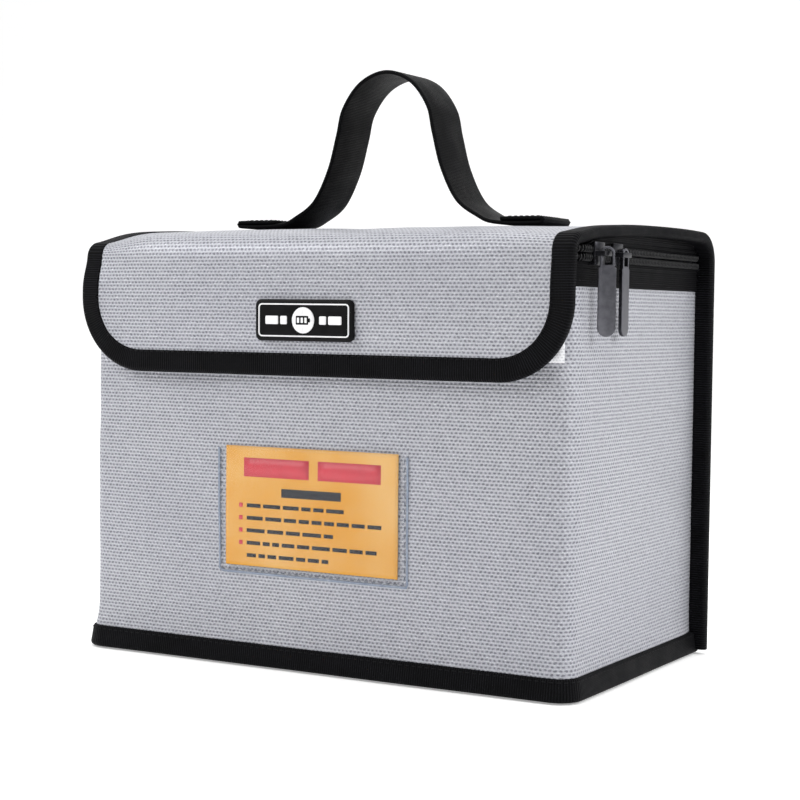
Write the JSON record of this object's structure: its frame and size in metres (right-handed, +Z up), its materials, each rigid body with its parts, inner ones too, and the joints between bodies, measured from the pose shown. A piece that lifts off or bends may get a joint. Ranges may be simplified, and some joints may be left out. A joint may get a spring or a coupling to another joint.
{
  "type": "lipo safe bag",
  "caption": "Padded box bag in silver fire-resistant cloth with a zipped lid, a front flap, a webbing handle and a card pocket.",
  "frame": {"origin": "centre of the base, on the surface the bag stands on", "axes": "+X to the side with the parked zip sliders, -Y to the front with the flap, +Z up"},
  "size_m": [0.2279, 0.1338, 0.2381],
  "materials": {
    "silver_fabric": "aluminised woven glass-fibre cloth, satin, small staggered weave",
    "insulation": "needled glass-fibre felt, matte white",
    "lining": "plain woven glass-fibre lining, satin silver grey",
    "binding_tape": "black ribbed edge tape, satin",
    "zip_tape": "black woven zip tape, matte",
    "zip_coil": "black nylon coil, satin",
    "slider_metal": "gunmetal coated zinc casting, satin",
    "touch_fastener": "dark hook-and-loop strip, matte",
    "clear_film": "clear vinyl film, glossy",
    "card_stock": "amber printed card, satin",
    "webbing": "black woven webbing, satin",
    "badge_rubber": "black moulded rubber, matte",
    "badge_print": "white raised rubber, matte"
  },
  "bodies": {
    "body": {"outer_wrap": "silver_fabric", "back_panel": "silver_fabric", "base_panel": "silver_fabric", "insulation_wrap": "insulation", "insulation_back": "insulation", "insulation_base": "insulation", "body_lining": "lining", "base_binding": "binding_tape", "back_binding_right": "binding_tape", "back_binding_left": "binding_tape", "zip_tape_lower": "zip_tape", "zip_coil_lower": "zip_coil", "zip_stop_right": "slider_metal", "zip_stop_left": "slider_metal", "front_facing": "silver_fabric", "loop_strip": "touch_fastener", "card_window": "clear_film"},
    "card": {"info_card": "card_stock"},
    "lid": {"lid_panel": "silver_fabric", "insulation_lid": "insulation", "lid_lining": "lining", "zip_tape_upper": "zip_tape", "zip_coil_upper": "zip_coil", "lid_binding_right": "binding_tape", "lid_binding_left": "binding_tape", "handle_foot_right": "webbing", "handle_foot_left": "webbing"},
    "flap": {"flap_panel": "silver_fabric", "insulation_flap": "insulation", "flap_lining": "lining", "flap_binding": "binding_tape", "hook_strip": "touch_fastener", "badge_base": "badge_rubber", "badge_border": "badge_print", "badge_emblem": "badge_print"},
    "handle": {"handle_loop": "webbing"},
    "slider_front": {"slider_front": "slider_metal"},
    "slider_rear": {"slider_rear": "slider_metal"},
    "pull_front": {"pull_front": "slider_metal"},
    "pull_rear": {"pull_rear": "slider_metal"}
  },
  "joints": [
    {"name": "lid_hinge", "type": "hinge", "parent": "body", "child": "lid", "pos_m": [0, 0.0633, 0.162], "axis": [-1, 0, 0], "range_deg": [0, 180]},
    {"name": "flap_hinge", "type": "hinge", "parent": "lid", "child": "flap", "pos_m": [0, -0.0698, 0.16189], "axis": [-1, 0, 0], "range_deg": [0, 180]},
    {"name": "handle_tilt", "type": "hinge", "parent": "lid", "child": "handle", "pos_m": [0, 0, 0.1883], "axis": [1, 0, 0], "range_deg": [-75, 75], "stiffness_Nm_per_rad": 0.02},
    {"name": "slider_front_travel", "type": "slide", "parent": "body", "child": "slider_front", "axis": [0, -1, 0], "range_m": [0, 0.003]},
    {"name": "slider_rear_travel", "type": "slide", "parent": "body", "child": "slider_rear", "axis": [0, 1, 0], "range_m": [0, 0.0805]},
    {"name": "pull_front_swing", "type": "hinge", "parent": "slider_front", "child": "pull_front", "pos_m": [0.11375, -0.047, 0.162], "axis": [0, -1, 0], "range_deg": [0, 100]},
    {"name": "pull_rear_swing", "type": "hinge", "parent": "slider_rear", "child": "pull_rear", "pos_m": [0.1119, -0.02675, 0.162], "axis": [1, 0, 0], "range_deg": [0, 90]},
    {"name": "card_slide", "type": "slide", "parent": "body", "child": "card", "axis": [0, 0, 1], "range_m": [0, 0.022]}
  ]
}
